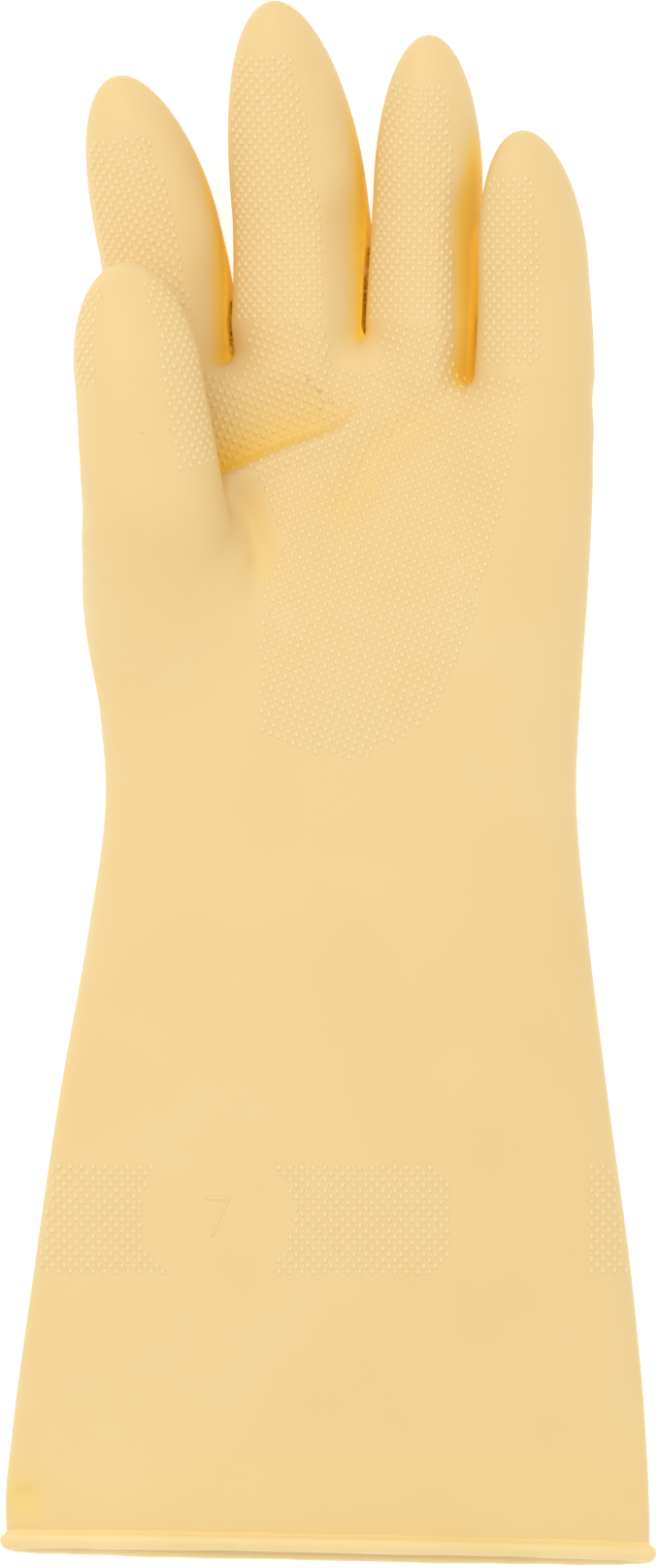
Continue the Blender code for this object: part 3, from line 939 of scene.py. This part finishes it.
def paintedMouthShade(points, normals):
    # Painted shade: a slightly deeper band near the mouth and a deeper dent at its left, on the palm side.
    x, y, _ = points.T
    band = bell(y + 141, 13)
    dent = bell(x + 60.5, 4.5) * bell(y + 139.5, 5.0)
    return (mouthPlan["bandPaintedShade"] * band + mouthPlan["dentPaintedShade"] * dent) * (normals[:, 2] > 0.1)


def gauntletPieces():
    angles = evenAngles(gauntletSides)
    wristLow, wristTop = handPlan["wristFold"]
    wristRows = np.linspace(wristTop, wristLow, wristRings)
    sleeveRows = np.linspace(wristLow, mouthPlan["y"], sleeveRings)[1:]
    rows = np.concatenate([wristRows, sleeveRows])
    span = mouthPlan["y"] - wristTop
    rings = [gauntletRing((y - wristTop) / span, wristTop, angles) for y in rows]
    for k in range(wristRings):
        rings[k][:, 1] = rows[k]
    points = np.vstack(rings)
    normals = gridNormals(points, len(rings), gauntletSides)
    normals = -normals if normals[gauntletSides // 4][2] < 0 else normals
    faces = ringStrip(len(rings), gauntletSides)
    shade = paintedMouthShade(points, normals)
    edge = (wristRings - 1) * gauntletSides
    wristFaces = [f for f in faces if min(f) < edge]
    sleeveFaces = [f for f in faces if min(f) >= edge]
    wrist = wallPiece("wrist_skin", *compact(points, wristFaces, normals, shade))
    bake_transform(wrist)
    finishPiece(wrist, "wrist_fold")
    sleeve = wallPiece("gauntlet_skin", *compact(points, sleeveFaces, normals, shade))
    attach(sleeve, "gauntlet")
    finishPiece(sleeve, "gauntlet_shell")


def beadPath(angles):
    # The bead's middle line, and at each of its points the direction outwards.
    centre = gauntletRing(1.0, handPlan["wristFold"][1], angles)
    inward = np.array([0.0, 0.0, mouthPlan["z"]]) - centre
    inward[:, 0] *= 0.05
    inward[:, 1] = 0
    centre = centre + unit(inward) * mouthPlan["beadInset"]
    along = unit(np.roll(centre, -1, 0) - np.roll(centre, 1, 0))
    out = unit(np.cross(along, (0.0, -1.0, 0.0)))
    flip = np.sign((out * -inward).sum(1, keepdims=True))
    return centre, out * np.where(flip == 0, 1, flip)


def beadPiece():
    # The rolled edge: a tube along the mouth with a fine line where the last turn ends.
    steps, sides = mouthPlan["beadSteps"], mouthPlan["beadSides"]
    angles = evenAngles(steps)
    centre, out = beadPath(angles)
    down = np.array([0.0, -1.0, 0.0])
    turn = np.arange(sides) * 2 * math.pi / sides
    lineTurn, lineDepth, lineWidth = 2.35, 0.20, 0.30
    groove = 1 - lineDepth * bell(np.angle(np.exp(1j * (turn - lineTurn))), lineWidth)
    wobble = 1 + 0.03 * np.sin(angles * 9.0 + 1.0) + 0.02 * np.sin(angles * 23.0)
    rings = []
    for k in range(steps):
        r = mouthPlan["beadRadius"] * wobble[k] * groove
        ring = centre[k] + out[k] * (np.sin(turn) * r)[:, None]
        rings.append(ring + down * (np.cos(turn) * r)[:, None])
    points = np.vstack(rings)
    points[:, 2] = np.maximum(points[:, 2], 0.0)
    # Painted shade in the groove of the fine line.
    shade = np.tile((1 - groove) * 1.5, steps)
    faces = ringStrip(steps, sides, joined=True)
    bead = meshPiece("rolled_edge", points, faces, None, materials["roll"], {"shade": shade})
    turnOutwards(bead)
    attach(bead, "gauntlet")
    finishPiece(bead, "cuff_bead")


gripPlan = {
    "pitch": 1.6, "studWidth": 1.05, "studLength": 1.40, "studHeight": 0.26, "studSunk": 0.06,
    "palmOutline": [
        (-15.4, 62.0), (-9.5, 47.0), (-13.2, 36.0), (-13.9, 19.6), (-13.4, 9.4), (-4.0, 6.0), (6.0, 4.9),
        (14.5, 9.0), (21.0, 14.5), (26.5, 27.0), (29.8, 40.1), (34.8, 60.6), (37.6, 78.0), (33.0, 80.5),
        (24.0, 80.5), (24.0, 92.0), (10.8, 92.0), (9.0, 80.0), (0.2, 81.0), (-2.0, 92.0), (-15.0, 92.0),
        (-17.4, 80.0), (-24.6, 80.0), (-27.0, 86.0), (-33.0, 86.0), (-30.5, 66.0), (-21.5, 61.0),
    ],
    "palmTurn": math.radians(22),
    "cuffBand": (-95.7, -73.9),
    "cuffCircle": (-22.4, -84.3, 14.8),
    "cuffRuns": [(-62.0, -22.4), (-22.4, 23.0), (50.6, 62.0)],
    "cuffCorner": 6.0,
}


def gripTree():
    # Sets one flattened stud on each point, turned to its facing and along vectors.
    tree = bpy.data.node_groups.new("grip_studs", "GeometryNodeTree")
    face = tree.interface
    face.new_socket("Points", in_out="INPUT", socket_type="NodeSocketGeometry")
    for label in ("Stud width", "Stud length", "Stud height"):
        face.new_socket(label, in_out="INPUT", socket_type="NodeSocketFloat")
    face.new_socket("Latex", in_out="INPUT", socket_type="NodeSocketMaterial")
    face.new_socket("Studs", in_out="OUTPUT", socket_type="NodeSocketGeometry")
    entry = tree.nodes.new("NodeGroupInput")
    given = [Signal(tree, socket) for socket in entry.outputs]
    size = nodeOf(tree, "ShaderNodeCombineXYZ", {}, given[1] * 0.5, given[2] * 0.5, given[3])
    ball = nodeOf(tree, "GeometryNodeMeshUVSphere", {}, Segments=8, Rings=6, Radius=1.0)
    place = nodeOf(tree, "GeometryNodeInputPosition", {})
    high = nodeOf(tree, "ShaderNodeSeparateXYZ", {}, place, out=2)
    # The stud's height, stored for the painted highlight on its top.
    marked = nodeOf(tree, "GeometryNodeStoreNamedAttribute", {"data_type": "FLOAT", "domain": "POINT"},
                    Geometry=ball, Name="crownHighlight", Value=high)
    stud = nodeOf(tree, "GeometryNodeTransform", {}, Geometry=marked, Scale=size)
    smooth = nodeOf(tree, "GeometryNodeSetShadeSmooth", {}, Geometry=stud)
    facing = nodeOf(tree, "GeometryNodeInputNamedAttribute", {"data_type": "FLOAT_VECTOR"}, Name="facing")
    along = nodeOf(tree, "GeometryNodeInputNamedAttribute", {"data_type": "FLOAT_VECTOR"}, Name="along")
    turned = nodeOf(tree, "FunctionNodeAxesToRotation", {"primary_axis": "Z", "secondary_axis": "Y"},
                    facing, along)
    placed = nodeOf(tree, "GeometryNodeInstanceOnPoints", {},
                    Points=given[0], Instance=smooth, Rotation=turned)
    real = nodeOf(tree, "GeometryNodeRealizeInstances", {}, placed)
    painted = nodeOf(tree, "GeometryNodeSetMaterial", {}, Geometry=real, Material=given[4])
    leave = tree.nodes.new("NodeGroupOutput")
    tree.links.new(painted.socket, leave.inputs[0])
    return tree


studTree = gripTree()


def studPiece(name, points, normals, along):
    # One mesh of studs, sunk a little so that their widest ring lies under the skin.
    mesh = bpy.data.meshes.new(name)
    sunk = points - normals * gripPlan["studSunk"]
    mesh.from_pydata((sunk * mm).tolist(), [], [])
    for key, rows in (("facing", normals), ("along", along)):
        paint(mesh, key, rows, "FLOAT_VECTOR", "vector")
    # Painted shade and glow on the studs, as on the skin round them.
    paint(mesh, "shade", shadeAt(points, normals))
    seeds = addObject(name + "_seeds", mesh)
    step = seeds.modifiers.new("studs", "NODES")
    step.node_group = studTree
    sizes = {
        "Stud width": gripPlan["studWidth"] * mm, "Stud length": gripPlan["studLength"] * mm,
        "Stud height": (gripPlan["studHeight"] + gripPlan["studSunk"]) * mm,
        "Latex": materials["grip"],
    }
    for item in studTree.interface.items_tree:
        if item.in_out == "INPUT" and item.name in sizes:
            step[item.identifier] = sizes[item.name]
    graph = bpy.context.evaluated_depsgraph_get()
    result = bpy.data.meshes.new_from_object(seeds.evaluated_get(graph))
    result.name = name
    obj = addObject(name, result)
    bpy.data.objects.remove(seeds)
    return obj


def lattice(low, high, turn=0.0):
    # Points of a square lattice standing on its corner, turned, that cover a box.
    half = gripPlan["pitch"] / math.sqrt(2)
    reach = int(max(np.ptp([low[0], high[0]]), np.ptp([low[1], high[1]])) / half) + 4
    j, i = np.mgrid[-reach:reach + 1, -reach:reach + 1]
    keep = (i + j) % 2 == 0
    u, v = i[keep] * half, j[keep] * half
    cos, sin = math.cos(turn), math.sin(turn)
    x = u * cos - v * sin + (low[0] + high[0]) / 2
    y = u * sin + v * cos + (low[1] + high[1]) / 2
    inside = (x > low[0]) & (x < high[0]) & (y > low[1]) & (y < high[1])
    return x[inside], y[inside]


def insideOutline(x, y, outline):
    # Counts how often the outline is crossed on the way out.
    inside = np.zeros(x.shape, bool)
    for (x0, y0), (x1, y1) in zip(outline, outline[1:] + outline[:1]):
        if y0 == y1:
            continue
        crosses = (y0 > y) != (y1 > y)
        inside ^= crosses & (x < (x1 - x0) * (y - y0) / (y1 - y0) + x0)
    return inside


def dropOn(field, x, y, top):
    # Lowers points from above until they meet the surface.
    z = np.full(x.shape, float(top))
    for _ in range(60):
        z -= np.clip(field(np.stack([x, y, z], 1)) * 0.85, -2, 6)
    return np.stack([x, y, z], 1)


def studRows(field, points, along):
    # The points with the surface's normals there, and the along vectors laid flat on it.
    normals = unit(slopeOf(field, points))
    return points, normals, unit(along - normals * (along * normals).sum(1, keepdims=True))


def palmStuds():
    outline = gripPlan["palmOutline"]
    x, y = lattice((-36, 2), (42, 96), gripPlan["palmTurn"])
    keep = insideOutline(x, y, outline)
    x, y = x[keep], y[keep]
    points = dropOn(gloveField, x, y, 49.0)
    turn = gripPlan["palmTurn"]
    along = np.tile([-math.sin(turn), math.cos(turn), 0.0], (len(x), 1))
    points, normals, along = studRows(gloveField, points, along)
    owner, gap = ownersOf(points)
    onThumb = (owner == 4) & (gap < 2.5)
    pastRoot = np.zeros(len(x), bool)
    for k, limb in enumerate(limbs.values()):
        centre, direction = limb.at(0.0)[:2]
        pastRoot |= (owner == k) & (gap < 3) & (((points - centre) @ direction) > -0.3)
    good = ~onThumb & ~pastRoot & (normals[:, 2] > 0.25) & (np.abs(gloveField(points)) < 0.3)
    obj = studPiece("palm_grip", points[good], normals[good], along[good])
    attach(obj, "hand")


def cutCorners(x, y):
    # Whether a point lies outside the rounded corners at the end of the cuff's second patch.
    low, high = gripPlan["cuffBand"]
    corner, end = gripPlan["cuffCorner"], gripPlan["cuffRuns"][1][1]
    beyondX = np.maximum(x - end + corner, 0)
    beyondY = np.maximum(np.abs(y - (low + high) / 2) - (high - low) / 2 + corner, 0)
    return (x > end - corner) & (x < end + 2) & (np.hypot(beyondX, beyondY) > corner)


def cuffStuds():
    low, high = gripPlan["cuffBand"]
    circleX, circleY, radius = gripPlan["cuffCircle"]
    x, y = lattice((-64, low), (64, high))
    circle = np.hypot(x - circleX, y - circleY) > radius
    runs = np.zeros(x.shape, bool)
    for x0, x1 in gripPlan["cuffRuns"]:
        runs |= (x > x0) & (x < x1)
    middleX, _, half, _ = sectionAt(y)
    visible = np.abs(x - middleX) < half * 0.985
    keep = circle & runs & ~cutCorners(x, y) & visible
    x, y = x[keep], y[keep]
    points = dropOn(handField, x, y, 30.0)
    along = np.tile([0.0, 1.0, 0.0], (len(x), 1))
    obj = studPiece("cuff_grip", *studRows(handField, points, along))
    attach(obj, "gauntlet")


def bandRows(limb):
    # Rows of studs square to the digit and evenly spaced along its surface: each point and its s.
    half = gripPlan["pitch"] / math.sqrt(2)
    found = []
    for low, high, s0, s1 in limb.plan["bands"]:
        fine = np.linspace(math.acos(high), math.acos(low), 400)
        for row, s in enumerate(np.arange(s0, s1, half)):
            line = limb.ring(s, fine)
            passed = lengthsAlong(line)
            start = passed[-1] / 2 + (row % 2) * half
            places = start + np.arange(-40, 40) * 2 * half
            places = places[(places > 0) & (places < passed[-1])]
            if len(places):
                angles = np.interp(places, passed, fine)
                found.append(np.hstack([limb.ring(s, angles), np.full((len(places), 1), s)]))
    rows = np.vstack(found)
    return rows[:, :3], rows[:, 3]


def digitStuds(limb):
    # The digit's studs, sorted by zone and fold.
    points, s = bandRows(limb)
    nearRoot = s < limb.plan["folds"][0][1]
    field = gloveField if nearRoot.any() else limb.field
    points = np.where(nearRoot[:, None], settle(gloveField, points, 5), points)
    onSkin = np.abs(field(points)) < 0.25
    points, s = points[onSkin], s[onSkin]
    rows = studRows(limb.field, points, limb.at(s)[1])
    bodies, folds, zones = bodyNames(limb)
    spans = limb.plan["folds"]
    for k, zone in enumerate(zones):
        end = spans[k + 1][0] if k + 1 < len(zones) else limb.length
        onZone = (s >= spans[k][1]) & (s < end)
        if onZone.any():
            obj = studPiece(f"{limb.name}_{zone}_grip", *[row[onZone] for row in rows])
            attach(obj, bodies[k + 1])
        onFold = (s >= spans[k][0]) & (s < spans[k][1])
        if onFold.any():
            obj = studPiece(f"{limb.name}_{folds[k]}_grip", *[row[onFold] for row in rows])
            bendFold(obj, limb, k)


numeralPlan = {
    "middle": gripPlan["cuffCircle"][:2],
    "strokes": [(-2.3, 3.7), (2.3, 3.7), (-0.9, -3.8)],
    "radius": 0.42, "rise": 0.16, "sunk": 0.03, "steps": 13,
}


def numeralPiece():
    # The size numeral, as one barely raised half-round stroke.
    corners = np.array(numeralPlan["strokes"]) + numeralPlan["middle"]
    line = []
    for a, b in zip(corners, corners[1:]):
        line += [a + (b - a) * t for t in np.linspace(0, 1, numeralPlan["steps"] + 1)[:-1]]
    line = np.array(line + [corners[-1]])
    flat = unit(np.gradient(line, axis=0))
    across = np.stack([flat[:, 1], -flat[:, 0]], 1)
    profile = np.linspace(0, math.pi, 7)
    points = []
    for k, place in enumerate(line):
        ends = 0.55 if k in (0, len(line) - 1) else 1.0
        xy = place + across[k] * (np.cos(profile) * numeralPlan["radius"] * ends)[:, None]
        low = dropOn(handField, xy[:, 0], xy[:, 1], 30.0)
        low[:, 2] += np.sin(profile) * numeralPlan["rise"] * ends - numeralPlan["sunk"]
        points.append(low)
    sides, count = len(profile), len(line) * len(profile)
    faces = [(a, d, c, b) for a, b, c, d in ringStrip(len(line), sides)]
    faces += [tuple(range(sides)), tuple(range(count - 1, count - sides - 1, -1))]
    obj = meshPiece("size_numeral", np.vstack(points), faces, None, materials["latex"])
    turnOutwards(obj)
    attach(obj, "gauntlet")


netPieces()
print("hand and root folds made")
for limb in limbs.values():
    digitPieces(limb)
print("digits made")
gauntletPieces()
beadPiece()
print("gauntlet and rolled edge made")
palmStuds()
cuffStuds()
for limb in limbs.values():
    digitStuds(limb)
numeralPiece()
print("grip studs and numeral made")


stagePlan = {  # the lamps in watts and metres, the camera's frame and centre in mm
    "world": 0.80,
    "lamps": [("overhead", (-0.5, 0.5, 1.4), 1.2, 8.6), ("side", (1.1, -0.6, 0.9), 0.9, 2.15)],
    "floorGrey": 0.55, "floorGlow": 0.68,
    "lens": 250.0, "frameLong": 306.7, "focusHeight": 15, "centre": (-0.285, 0.1),
}


def makeFloor():
    bpy.ops.mesh.primitive_plane_add(size=6.0, location=(0, 0, -0.0002))
    floor = bpy.context.object
    floor.name = "floor"
    material = bpy.data.materials.new("floor")
    material.use_nodes = True
    tree = material.node_tree
    fillSockets(tree, tree.nodes["Principled BSDF"], {
        "Base Color": (*[stagePlan["floorGrey"]] * 3, 1), "Roughness": 0.9, "Specular IOR Level": 0.1,
        "Emission Color": (1, 1, 1, 1), "Emission Strength": stagePlan["floorGlow"],
    })
    floor.data.materials.append(material)


def makeLights():
    world = bpy.data.worlds.new("pale")
    bpy.context.scene.world = world
    world.use_nodes = True
    tree = world.node_tree
    fillSockets(tree, tree.nodes["Background"], {"Color": (1, 1, 1, 1), "Strength": stagePlan["world"]})
    for name, place, size, power in stagePlan["lamps"]:
        lamp = bpy.data.lights.new(name, "AREA")
        lamp.size = size
        lamp.energy = power
        obj = addObject(name, lamp)
        obj.location = place
        aim = -obj.location
        obj.rotation_euler = aim.to_track_quat("-Z", "Y").to_euler()


def makeCamera():
    camera = bpy.data.cameras.new("camera")
    camera.lens = stagePlan["lens"]
    camera.sensor_width = 36.0
    camera.clip_start, camera.clip_end = 0.1, 20
    eye = addObject("camera", camera)
    distance = stagePlan["frameLong"] / camera.sensor_width * camera.lens
    x, y = stagePlan["centre"]
    eye.location = (x * mm, y * mm, (distance + stagePlan["focusHeight"]) * mm)
    bpy.context.scene.camera = eye
    bpy.context.scene.view_settings.view_transform = "Standard"


makeFloor()
makeLights()
makeCamera()
print("stage set")
